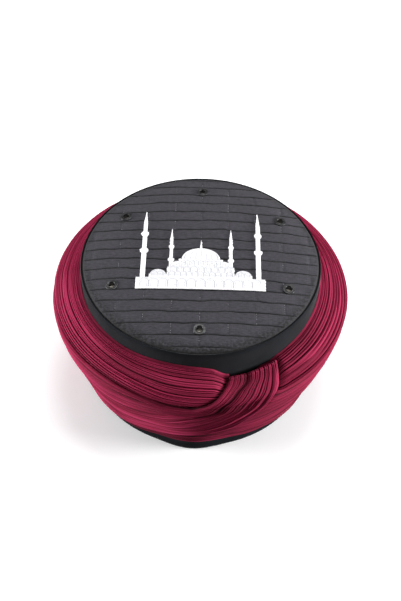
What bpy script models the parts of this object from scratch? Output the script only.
"""Wound turban cap: a stiff round cap with a quilted top and a pleated cloth wound round it.

Units are metres, +Z is up, and the cap stands on its rim at Z = 0 with its front towards -Y.
Azimuths are degrees round +Z from +X, so the front is at -90.
A run is a place across the wound cloth: 0 at its lower edge, 1 at its upper edge.
"""

import math

import bmesh
import bpy
from mathutils import Matrix, Vector

# Cap drum
RIM_RADIUS = 0.0918
SEAM_HEIGHT = 0.1200
SHOULDER_SWELL = 0.0011
SHOULDER_DROP = 0.0055
WALL = 0.0022
EDGE_ROUNDING = 0.0005
CORNER_DEPTH = 0.0012
CORNER_AZIMUTH = -93.0
CORNER_HALF_WIDTH = 16.0

# Quilted top
PANEL_RADIUS = 0.0925
PANEL_THICKNESS = 0.0027
PANEL_CROWN = 0.0055
ROW_PITCH = 0.01035
ROW_SHIFT = -0.0039
GROOVE_DEPTH = 0.0009
BACKING_THICKNESS = 0.0015

# Eyelets
EYELET_INSET = 0.0195
EYELET_FLANGE_RADIUS = 0.0044
EYELET_FLANGE_HEIGHT = 0.0008
EYELET_LIP_HEIGHT = 0.0003
EYELET_HOLE_RADIUS = 0.0019
EYELET_TUBE_WALL = 0.0006

# Embroidery
PICTURE_WIDTH = 0.0980
PICTURE_HEIGHT = 0.0820
PICTURE_BASE = -0.0355
THREAD_HEIGHT = 0.0007

# Wound cloth
CLOTH_BULGE = 0.0240
BAND_SHOW = 0.0145
ROLL_HEIGHT = 0.0172
FOOT_HEIGHT = 0.0035
FOOT_LIFT = 0.0080
NOTCH_DEPTH = 0.0075
FOLD_DEPTH = 0.0015

# Crossing fold
LOOP_THICKNESS = 0.0034
LOOP_SINK = 0.0026
LOOP_SEAT = 0.0011
LOOP_RIDGE = 0.0012
LOOP_MARGIN = 0.0080
LOOP_EDGE_SHARE = 0.55

# Clearance that neighbouring pieces keep
GAP = 0.0003

# Fineness of the round shapes
ROUND_STEPS = 84
EYELET_STEPS = 12
PANEL_CUTS = 6

# Eyelet places: azimuth, distance from the middle as a share of their ring's radius
EYELETS = (
    (90.0, 0.99),
    (145.0, 1.01),
    (205.0, 1.01),
    (270.0, 0.99),
    (335.0, 1.01),
    (33.0, 1.02),
)

# Edges of the wound cloth: azimuth, dip of the upper edge as a share of NOTCH_DEPTH,
# rise of the lower edge as a share of FOOT_LIFT
CLOTH_EDGES = (
    (-180.0, 0.00, 0.05),
    (-128.0, 0.00, 0.12),
    (-105.0, -0.25, 0.70),
    (-92.0, -0.20, 0.95),
    (-84.0, 0.10, 1.00),
    (-77.0, 0.90, 0.98),
    (-67.0, 1.00, 0.90),
    (-57.0, 0.95, 0.75),
    (-51.0, 0.40, 0.55),
    (-40.0, 0.15, 0.25),
    (0.0, 0.15, 0.05),
    (90.0, 0.10, 0.00),
    (180.0, 0.00, 0.05),
)

# Cross-section of the wound cloth: run, rise (1 at the widest place, 2 at the upper edge),
# bulge as a share of CLOTH_BULGE
CLOTH_PROFILE = (
    (0.000, 0.00, 0.11),
    (0.135, 0.19, 0.26),
    (0.270, 0.36, 0.40),
    (0.400, 0.53, 0.60),
    (0.520, 0.68, 0.78),
    (0.640, 0.84, 0.92),
    (0.700, 0.93, 0.970),
    (0.745, 1.02, 0.985),
    (0.780, 1.15, 0.955),
    (0.817, 1.34, 0.855),
    (0.858, 1.52, 0.69),
    (0.907, 1.70, 0.48),
    (0.941, 1.81, 0.33),
    (0.977, 1.93, 0.18),
    (1.000, 2.00, 0.085),
)

# Creases between the main folds: azimuth, then the run of each crease
CREASES = (
    (-180.0, 0.11, 0.24, 0.37, 0.49, 0.60, 0.69, 0.77, 0.85, 0.93),
    (-130.0, 0.10, 0.22, 0.34, 0.46, 0.57, 0.67, 0.77, 0.85, 0.93),
    (-95.0, 0.13, 0.26, 0.38, 0.50, 0.60, 0.70, 0.78, 0.85, 0.92),
    (-50.0, 0.14, 0.27, 0.38, 0.49, 0.60, 0.71, 0.80, 0.87, 0.94),
    (-10.0, 0.12, 0.25, 0.36, 0.47, 0.58, 0.68, 0.78, 0.86, 0.93),
    (90.0, 0.13, 0.25, 0.38, 0.50, 0.61, 0.70, 0.78, 0.86, 0.93),
    (180.0, 0.11, 0.24, 0.37, 0.49, 0.60, 0.69, 0.77, 0.85, 0.93),
)

# Share of the run over which the cloth's upper edge turns in to the drum
LIP_RUN = 0.015

# Crossing fold: share of its way, left edge azimuth and run, right edge azimuth and run,
# thickness share
LOOP_SECTIONS = (
    (0.00, -76.5, 1.015, -57.0, 1.015, 0.70),
    (0.10, -77.5, 0.940, -57.0, 0.945, 0.95),
    (0.22, -80.5, 0.865, -58.5, 0.855, 1.00),
    (0.34, -85.0, 0.785, -60.5, 0.745, 1.00),
    (0.46, -92.5, 0.730, -63.5, 0.610, 1.00),
    (0.58, -101.0, 0.715, -68.0, 0.480, 0.95),
    (0.70, -111.0, 0.720, -75.0, 0.340, 0.85),
    (0.82, -122.0, 0.735, -86.0, 0.225, 0.70),
    (0.92, -134.0, 0.745, -103.0, 0.160, 0.50),
    (1.00, -148.0, 0.745, -124.0, 0.130, 0.35),
)
LOOP_STEPS = 27
LOOP_CROWDING = 1.1
LOOP_RIDGES = 6

# Outline of a minaret: height share, half width share
MINARET_OUTLINE = (
    (0.44, 1.0),
    (0.46, 1.7),
    (0.49, 1.7),
    (0.51, 0.9),
    (0.66, 0.9),
    (0.68, 1.5),
    (0.71, 1.5),
    (0.73, 0.8),
    (0.84, 0.8),
)

# Minarets: centre as a share of half PICTURE_WIDTH, height share, half width as a share of PICTURE_WIDTH
MINARETS = (
    (-0.90, 1.00, 0.019),
    (-0.47, 0.76, 0.014),
    (0.47, 0.76, 0.014),
    (0.90, 1.00, 0.019),
)

# Domes: centre as a share of half PICTURE_WIDTH, springing height as a share of PICTURE_HEIGHT,
# radius as a share of PICTURE_WIDTH
DOMES = (
    (-0.66, 0.18, 0.060),
    (-0.34, 0.27, 0.080),
    (0.00, 0.37, 0.150),
    (0.34, 0.27, 0.080),
    (0.66, 0.18, 0.060),
)

# Blocks under the domes: half width as a share of half PICTURE_WIDTH, height as a share of PICTURE_HEIGHT
BLOCKS = (
    (1.00, 0.14),
    (0.80, 0.18),
    (0.52, 0.27),
    (0.34, 0.37),
)
DOME_STEPS = 8
DOME_SQUASH = 0.80
BLOCK_LEAN = 0.02
TOWER_CLEARANCE = 0.004
FINIAL_HEIGHT = 0.10
FINIAL_HALF_WIDTH = 0.008

MATERIALS = {
    "band_cloth": ((0.012, 0.013, 0.015), 0.85, 0.0),
    "panel_cloth": ((0.070, 0.068, 0.075), 0.90, 0.0),
    "felt": ((0.62, 0.58, 0.50), 0.95, 0.0),
    "black_metal": ((0.020, 0.020, 0.022), 0.35, 1.0),
    "white_thread": ((0.85, 0.85, 0.86), 0.60, 0.0),
    "burgundy_cloth": ((0.26, 0.012, 0.045), 0.85, 0.0),
}


def clear_scene():
    for found in list(bpy.data.objects):
        bpy.data.objects.remove(found, do_unlink=True)


def principled(name):
    colour, roughness, metallic = MATERIALS[name]
    material = bpy.data.materials.new(name)
    material.use_nodes = True
    shader = material.node_tree.nodes["Principled BSDF"]
    shader.inputs["Base Color"].default_value = (*colour, 1.0)
    shader.inputs["Roughness"].default_value = roughness
    shader.inputs["Metallic"].default_value = metallic
    return material


def add_piece(name, mesh_builder, material, smooth_below=40.0):
    """Turn a finished bmesh into one named object with one material."""
    bmesh.ops.recalc_face_normals(mesh_builder, faces=mesh_builder.faces)
    bmesh.ops.triangulate(mesh_builder, faces=mesh_builder.faces)
    mesh = bpy.data.meshes.new(name)
    mesh_builder.to_mesh(mesh)
    mesh_builder.free()
    mesh.materials.append(material)
    mesh.shade_smooth()
    mesh.set_sharp_from_angle(angle=math.radians(smooth_below))
    piece = bpy.data.objects.new(name, mesh)
    bpy.context.scene.collection.objects.link(piece)
    return piece


def ring_of_sections(sections, closed_way):
    """Join closed loops of points, each with the same count, into one skin."""
    builder = bmesh.new()
    loops = [[builder.verts.new(point) for point in section] for section in sections]
    count = len(loops[0])
    pairs = len(loops) if closed_way else len(loops) - 1
    for index in range(pairs):
        here = loops[index]
        there = loops[(index + 1) % len(loops)]
        for k in range(count):
            following = (k + 1) % count
            builder.faces.new((here[k], here[following], there[following], there[k]))
    if not closed_way:
        builder.faces.new(loops[0])
        builder.faces.new(list(reversed(loops[-1])))
    return builder


def look_up(table, place, column):
    """Read one column of a table at a place in its first column, along a smooth monotone curve."""
    if place <= table[0][0]:
        return table[0][column]
    if place >= table[-1][0]:
        return table[-1][column]
    index = 0
    while table[index + 1][0] < place:
        index += 1

    def slope(low):
        if low < 0 or low + 1 >= len(table):
            return None
        return (table[low + 1][column] - table[low][column]) / (table[low + 1][0] - table[low][0])

    def tangent(at):
        before = slope(at - 1)
        after = slope(at)
        if before is None:
            return after
        if after is None:
            return before
        if before * after <= 0.0:
            return 0.0
        return 2.0 * before * after / (before + after)

    width = table[index + 1][0] - table[index][0]
    t = (place - table[index][0]) / width
    value_0 = table[index][column]
    value_1 = table[index + 1][column]
    tangent_0 = tangent(index) * width
    tangent_1 = tangent(index + 1) * width
    return (
        (2 * t**3 - 3 * t**2 + 1) * value_0
        + (t**3 - 2 * t**2 + t) * tangent_0
        + (3 * t**2 - 2 * t**3) * value_1
        + (t**3 - t**2) * tangent_1
    )


def ease(value):
    clipped = min(max(value, 0.0), 1.0)
    return clipped * clipped * (3.0 - 2.0 * clipped)


def wrapped(azimuth):
    return (azimuth + 180.0) % 360.0 - 180.0


def polar(radius, azimuth, height):
    angle = math.radians(azimuth)
    return Vector((radius * math.cos(angle), radius * math.sin(angle), height))


# Cap drum

def drum_top():
    return SEAM_HEIGHT - PANEL_THICKNESS - GAP


def rim_corner(azimuth, height):
    """The rim's small corner at the front, which fades out up the drum."""
    away = abs(wrapped(azimuth - CORNER_AZIMUTH)) / CORNER_HALF_WIDTH
    return CORNER_DEPTH * ease(1.0 - away) * ease(1.0 - height / SEAM_HEIGHT)


def drum_radius(azimuth, height):
    """Outside of the drum: it widens evenly from the rim to the shoulder, then rounds in to the seam."""
    shoulder_height = SEAM_HEIGHT - SHOULDER_DROP
    if height <= shoulder_height:
        share = height / shoulder_height
        plain = RIM_RADIUS + (PANEL_RADIUS + SHOULDER_SWELL - RIM_RADIUS) * share
    else:
        share = min((height - shoulder_height) / SHOULDER_DROP, 1.0)
        plain = PANEL_RADIUS + SHOULDER_SWELL * math.sqrt(1.0 - share * share)
    return plain + rim_corner(azimuth, height)


def drum_section(azimuth):
    top = drum_top()
    shoulder_height = SEAM_HEIGHT - SHOULDER_DROP
    points = [
        (drum_radius(azimuth, 0.0) - EDGE_ROUNDING, 0.0),
        (drum_radius(azimuth, EDGE_ROUNDING), EDGE_ROUNDING),
        (drum_radius(azimuth, shoulder_height), shoulder_height),
        (drum_radius(azimuth, 0.5 * (shoulder_height + top)), 0.5 * (shoulder_height + top)),
        (drum_radius(azimuth, top), top),
        (PANEL_RADIUS - WALL, top),
        (drum_radius(azimuth, shoulder_height) - WALL, shoulder_height),
        (drum_radius(azimuth, 0.0) - WALL, 0.0),
    ]
    return [polar(radius, azimuth, height) for radius, height in points]


def make_side_band():
    sections = [drum_section(-180.0 + 360.0 * step / ROUND_STEPS) for step in range(ROUND_STEPS)]
    return add_piece("side_band", ring_of_sections(sections, True), principled("band_cloth"))


# Quilted top

def panel_crown(x, y):
    """Height of the pillowed top over its seam."""
    share = min(math.hypot(x, y) / PANEL_RADIUS, 1.0)
    return PANEL_CROWN * (1.0 - share**4)


def panel_slope(radius):
    """Rise of the pillowed top per metre outwards."""
    return -4.0 * PANEL_CROWN * radius**3 / PANEL_RADIUS**4


def row_lines():
    """Places of the stitched rows across the panel, from front to back."""
    reach = int(PANEL_RADIUS / ROW_PITCH) + 1
    places = [ROW_SHIFT + ROW_PITCH * k for k in range(-reach, reach + 1)]
    return [place for place in places if abs(place) < PANEL_RADIUS - 0.25 * ROW_PITCH]


def is_row(y):
    return any(abs(y - place) < 0.02 * ROW_PITCH for place in row_lines())


def panel_surface(x, y):
    return SEAM_HEIGHT + panel_crown(x, y)


def draped_slab(builder, cuts_x, cuts_y, merged_below, top, bottom):
    """Cut a flat face along straight lines, thicken it, and lay it on two height functions."""
    for direction, cuts in ((Vector((1, 0, 0)), cuts_x), (Vector((0, 1, 0)), cuts_y)):
        for place in cuts:
            geometry = builder.verts[:] + builder.edges[:] + builder.faces[:]
            bmesh.ops.bisect_plane(
                builder, geom=geometry, dist=1e-6, plane_co=direction * place, plane_no=direction
            )
    bmesh.ops.remove_doubles(builder, verts=builder.verts, dist=merged_below)
    bmesh.ops.triangulate(builder, faces=[face for face in builder.faces if len(face.verts) > 4])
    low_verts = set(builder.verts)
    raised = bmesh.ops.extrude_face_region(builder, geom=builder.faces[:])
    high_verts = [item for item in raised["geom"] if isinstance(item, bmesh.types.BMVert)]
    for vert in low_verts:
        vert.co.z = bottom(vert.co.x, vert.co.y)
    for vert in high_verts:
        vert.co.z = top(vert.co.x, vert.co.y)
    return builder


def flat_disc(radius):
    builder = bmesh.new()
    bmesh.ops.create_circle(builder, cap_ends=True, radius=radius, segments=ROUND_STEPS)
    return builder


def across_lines(radius, count):
    """Places of the straight lines that cut a disc into equal strips."""
    return [radius * (2.0 * k / count - 1.0) for k in range(1, count)]


def eyelet_frame(azimuth, ring_share):
    """Place of an eyelet: its origin is on the panel's surface and its +Z stands off that surface."""
    radius = (PANEL_RADIUS - EYELET_INSET) * ring_share
    place = polar(radius, azimuth, SEAM_HEIGHT)
    place.z = panel_surface(place.x, place.y)
    lean = Matrix.Rotation(-math.atan(panel_slope(radius)), 4, "Y")
    turn = Matrix.Rotation(math.radians(azimuth), 4, "Z")
    return Matrix.Translation(place) @ turn @ lean


def tube_radius():
    return EYELET_HOLE_RADIUS + EYELET_TUBE_WALL


def make_hole_cutters():
    cutters = []
    for number, (azimuth, ring_share) in enumerate(EYELETS, 1):
        builder = bmesh.new()
        bmesh.ops.create_cone(
            builder,
            cap_ends=True,
            segments=EYELET_STEPS,
            radius1=tube_radius() + GAP,
            radius2=tube_radius() + GAP,
            depth=6.0 * PANEL_THICKNESS,
        )
        cutter = add_piece(f"hole_cutter_{number}", builder, principled("felt"))
        cutter.matrix_world = eyelet_frame(azimuth, ring_share)
        cutter.hide_render = True
        cutter.display_type = "WIRE"
        cutters.append(cutter)
    return cutters


def make_top_panel():
    rows = row_lines()
    between = [0.5 * (low + high) for low, high in zip(rows, rows[1:])]

    def top(x, y):
        edge = ease((PANEL_RADIUS - math.hypot(x, y)) / (2.0 * GROOVE_DEPTH))
        groove = GROOVE_DEPTH * edge if is_row(y) else 0.0
        return panel_surface(x, y) - groove

    def bottom(x, y):
        return panel_surface(x, y) - PANEL_THICKNESS

    strips = across_lines(PANEL_RADIUS, PANEL_CUTS)
    builder = draped_slab(flat_disc(PANEL_RADIUS), strips, sorted(rows + between), GAP, top, bottom)
    panel = add_piece("top_panel", builder, principled("panel_cloth"))
    for cutter in make_hole_cutters():
        cut = panel.modifiers.new(cutter.name, "BOOLEAN")
        cut.operation = "DIFFERENCE"
        cut.object = cutter
    return panel


def make_panel_backing():
    radius = PANEL_RADIUS - WALL - GAP

    def top(x, y):
        return panel_surface(x, y) - PANEL_THICKNESS - GAP

    def bottom(x, y):
        return top(x, y) - BACKING_THICKNESS

    lines = across_lines(radius, PANEL_CUTS)
    builder = draped_slab(flat_disc(radius), lines, lines, GAP, top, bottom)
    return add_piece("panel_backing", builder, principled("felt"))


# Eyelets

def eyelet_section(azimuth):
    crown = GAP + EYELET_FLANGE_HEIGHT
    middle = 0.5 * (tube_radius() + EYELET_FLANGE_RADIUS)
    points = (
        (EYELET_HOLE_RADIUS, -PANEL_THICKNESS),
        (tube_radius(), -PANEL_THICKNESS),
        (tube_radius(), GAP),
        (EYELET_FLANGE_RADIUS, GAP),
        (EYELET_FLANGE_RADIUS, GAP + EYELET_LIP_HEIGHT),
        (middle, crown),
        (tube_radius(), crown),
        (EYELET_HOLE_RADIUS, GAP + EYELET_LIP_HEIGHT),
    )
    return [polar(radius, azimuth, height) for radius, height in points]


def make_eyelets():
    material = principled("black_metal")
    for number, (azimuth, ring_share) in enumerate(EYELETS, 1):
        sections = [eyelet_section(360.0 * step / EYELET_STEPS) for step in range(EYELET_STEPS)]
        eyelet = add_piece(f"eyelet_{number}", ring_of_sections(sections, True), material)
        eyelet.matrix_world = eyelet_frame(azimuth, ring_share)


# Embroidery

def roof_height(x):
    """Top of the blocks and domes over the picture's base, leaving out the minarets."""
    half = 0.5 * PICTURE_WIDTH
    height = max(rise * PICTURE_HEIGHT for reach, rise in BLOCKS if abs(x) <= reach * half + 1e-9)
    for centre, springing, share in DOMES:
        radius = share * PICTURE_WIDTH
        away = (x - centre * half) / radius
        if abs(away) < 1.0:
            dome = springing * PICTURE_HEIGHT + DOME_SQUASH * radius * math.sqrt(1.0 - away * away)
            height = max(height, dome)
    return height


def roof_places():
    """Places along the picture where its roof line bends, from left to right."""
    half = 0.5 * PICTURE_WIDTH
    places = set()
    for reach, _ in BLOCKS:
        for side in (-1.0, 1.0):
            edge = side * reach * half
            places.add(edge)
            if reach < 1.0:
                places.add(edge * (1.0 + BLOCK_LEAN))
    for centre, _, share in DOMES:
        for step in range(DOME_STEPS + 1):
            away = -math.cos(math.pi * step / DOME_STEPS)
            places.add(centre * half + share * PICTURE_WIDTH * away)
    towers = [(centre * half, width * PICTURE_WIDTH) for centre, _, width in MINARETS]
    spire = FINIAL_HALF_WIDTH * PICTURE_WIDTH
    towers.append((0.0, spire))
    clear = TOWER_CLEARANCE * PICTURE_WIDTH
    return [x for x in sorted(places) if all(abs(x - at) > reach + clear for at, reach in towers)]


def minaret_points(centre, height_share, width_share):
    """Outline of one minaret from the roof on its left, over its tip, to the roof on its right."""
    middle = centre * 0.5 * PICTURE_WIDTH
    half = width_share * PICTURE_WIDTH
    height = height_share * PICTURE_HEIGHT
    left = [(middle - half, roof_height(middle - half))]
    left += [(middle - half * width, height * rise) for rise, width in MINARET_OUTLINE]
    right = [(2.0 * middle - x, y) for x, y in reversed(left[1:])]
    return left + [(middle, height)] + right + [(middle + half, roof_height(middle + half))]


def picture_outline():
    """Outline of the embroidered building, seen from above with its base at y = 0."""
    half = 0.5 * PICTURE_WIDTH
    spire = FINIAL_HALF_WIDTH * PICTURE_WIDTH
    towers = [(centre * half, minaret_points(centre, rise, width)) for centre, rise, width in MINARETS]
    finial = [
        (-spire, roof_height(spire)),
        (0.0, roof_height(0.0) + FINIAL_HEIGHT * PICTURE_HEIGHT),
        (spire, roof_height(spire)),
    ]
    towers.append((0.0, finial))
    runs = towers + [(x, [(x, roof_height(x))]) for x in roof_places()]
    outline = [(half, 0.0), (-half, 0.0)]
    for _, points in sorted(runs, key=lambda run: run[0]):
        outline += points
    return outline


def make_embroidery():
    builder = bmesh.new()
    verts = [builder.verts.new((x, y + PICTURE_BASE, 0.0)) for x, y in reversed(picture_outline())]
    builder.faces.new(verts)
    spacing = 2.0 * ROW_PITCH
    reach = int(PICTURE_WIDTH / spacing)
    lines = [spacing * (k + 0.5) for k in range(-reach, reach)]

    def bottom(x, y):
        return panel_surface(x, y) + GAP

    def top(x, y):
        return bottom(x, y) + THREAD_HEIGHT

    slab = draped_slab(builder, lines, lines, 0.01 * GAP, top, bottom)
    return add_piece("embroidery", slab, principled("white_thread"))


# Wound cloth

def cloth_edges(azimuth):
    """Heights of the cloth's lower edge, its widest place and its upper edge."""
    place = wrapped(azimuth)
    top = SEAM_HEIGHT - BAND_SHOW
    widest = top - ROLL_HEIGHT
    upper = top - NOTCH_DEPTH * look_up(CLOTH_EDGES, place, 1)
    lower = FOOT_HEIGHT + FOOT_LIFT * look_up(CLOTH_EDGES, place, 2)
    return lower, widest, upper


def plain_cloth_point(azimuth, run):
    """A point on the wound cloth with its folds smoothed out. Past run 1 it goes in to the drum."""
    lower, widest, upper = cloth_edges(azimuth)
    inside = min(max(run, 0.0), 1.0)
    rise = look_up(CLOTH_PROFILE, inside, 1)
    if rise <= 1.0:
        height = lower + (widest - lower) * rise
    else:
        height = widest + (upper - widest) * (rise - 1.0)
    bulge = CLOTH_BULGE * look_up(CLOTH_PROFILE, inside, 2)
    if run > 1.0:
        bulge *= max(1.0 - (run - 1.0) / LIP_RUN, 0.0)
    return polar(drum_radius(azimuth, height) + GAP + bulge, azimuth, height)


def cloth_normal(azimuth, run):
    step_azimuth = 0.5
    step_run = 0.004
    along = plain_cloth_point(azimuth + step_azimuth, run) - plain_cloth_point(azimuth - step_azimuth, run)
    across = plain_cloth_point(azimuth, run + step_run) - plain_cloth_point(azimuth, run - step_run)
    return along.cross(across).normalized()


def loop_point(way, width):
    """Azimuth and run on the crossing fold: width 0 is its left edge, 1 its right edge."""
    left_azimuth, left_run, right_azimuth, right_run = [look_up(LOOP_SECTIONS, way, c) for c in (1, 2, 3, 4)]
    azimuth = left_azimuth + (right_azimuth - left_azimuth) * width
    run = left_run + (right_run - left_run) * width
    return azimuth, run


def flat_place(azimuth, run):
    """Rolled-out place on the cloth, in metres."""
    girth = RIM_RADIUS + CLOTH_BULGE
    depth = SEAM_HEIGHT - BAND_SHOW - FOOT_HEIGHT + 0.5 * CLOTH_BULGE
    return Vector((math.radians(azimuth) * girth, run * depth))


def loop_footprint():
    """Middle, half width, direction across and thickness share of the crossing fold along its way."""
    samples = []
    for step in range(2 * LOOP_STEPS + 1):
        way = step / (2.0 * LOOP_STEPS)
        left = flat_place(*loop_point(way, 0.0))
        right = flat_place(*loop_point(way, 1.0))
        across = right - left
        thickness = look_up(LOOP_SECTIONS, way, 5)
        samples.append((0.5 * (left + right), 0.5 * across.length, across.normalized(), thickness))
    return samples


FOOTPRINT = loop_footprint()


def under_loop(azimuth, run):
    """How far the cloth is held in by the crossing fold there, from 0 to 1."""
    place = flat_place(wrapped(azimuth), run)
    most = 0.0
    for middle, half_width, across, thickness in FOOTPRINT:
        offset = place - middle
        if offset.length > half_width + LOOP_MARGIN:
            continue
        sideways = abs(offset.dot(across))
        along = abs(offset.x * across.y - offset.y * across.x)
        share = ease(1.0 - (sideways - half_width) / LOOP_MARGIN) * ease(1.0 - along / LOOP_MARGIN)
        most = max(most, share * thickness)
    return most


def cloth_point(azimuth, run, offset):
    """A point over the wound cloth, sunk where the crossing fold lies on it."""
    sink = LOOP_SINK * under_loop(azimuth, run)
    return plain_cloth_point(azimuth, run) + cloth_normal(azimuth, run) * (offset - sink)


def cloth_section(azimuth):
    """Closed section of the wound cloth: folds up the outside, then down along the drum."""
    place = wrapped(azimuth)
    creases = [0.0] + [look_up(CREASES, place, k) for k in range(1, len(CREASES[0]))] + [1.0]
    points = []
    for low, high in zip(creases, creases[1:]):
        for share, relief in ((0.0, -1.0), (0.3, 0.0), (0.7, 0.0)):
            run = low + (high - low) * share
            depth = FOLD_DEPTH * relief * (1.0 - under_loop(azimuth, run))
            if run == 0.0:
                depth = 0.0
            points.append(cloth_point(azimuth, run, depth))
    points.append(cloth_point(azimuth, 1.0, 0.0))
    lower = cloth_edges(azimuth)[0]
    top = points[-1].z
    for share in (1.0, 0.5, 0.0):
        height = lower + (top - lower) * share
        points.append(polar(drum_radius(azimuth, height) + GAP, azimuth, height))
    return points


def make_wound_cloth():
    sections = [cloth_section(-180.0 + 360.0 * step / ROUND_STEPS) for step in range(ROUND_STEPS)]
    return add_piece("wound_cloth", ring_of_sections(sections, True), principled("burgundy_cloth"))


# Crossing fold

def loop_section(way):
    """Closed section of the crossing fold: ridged outside, smooth inside."""
    thickness = LOOP_THICKNESS * look_up(LOOP_SECTIONS, way, 5)
    ridge = min(LOOP_RIDGE, 0.4 * thickness)
    outside = []
    inside = []
    for step in range(2 * LOOP_RIDGES + 1):
        width = step / (2.0 * LOOP_RIDGES)
        azimuth, run = loop_point(way, width)
        edge = min(width, 1.0 - width) * 2.0 * LOOP_RIDGES
        body = thickness * (LOOP_EDGE_SHARE + (1.0 - LOOP_EDGE_SHARE) * ease(edge))
        dip = ridge if step % 2 == 0 and 0 < step < 2 * LOOP_RIDGES else 0.0
        outside.append(cloth_point(azimuth, run, LOOP_SEAT + body - dip))
        if step % 2 == 0:
            inside.append(cloth_point(azimuth, run, LOOP_SEAT))
    return outside + list(reversed(inside))


def make_crossing_fold():
    sections = [loop_section((step / LOOP_STEPS) ** LOOP_CROWDING) for step in range(LOOP_STEPS + 1)]
    builder = ring_of_sections(sections, False)
    return add_piece("crossing_fold", builder, principled("burgundy_cloth"))


def main():
    clear_scene()
    make_side_band()
    make_top_panel()
    make_panel_backing()
    make_eyelets()
    make_embroidery()
    make_wound_cloth()
    make_crossing_fold()


main()
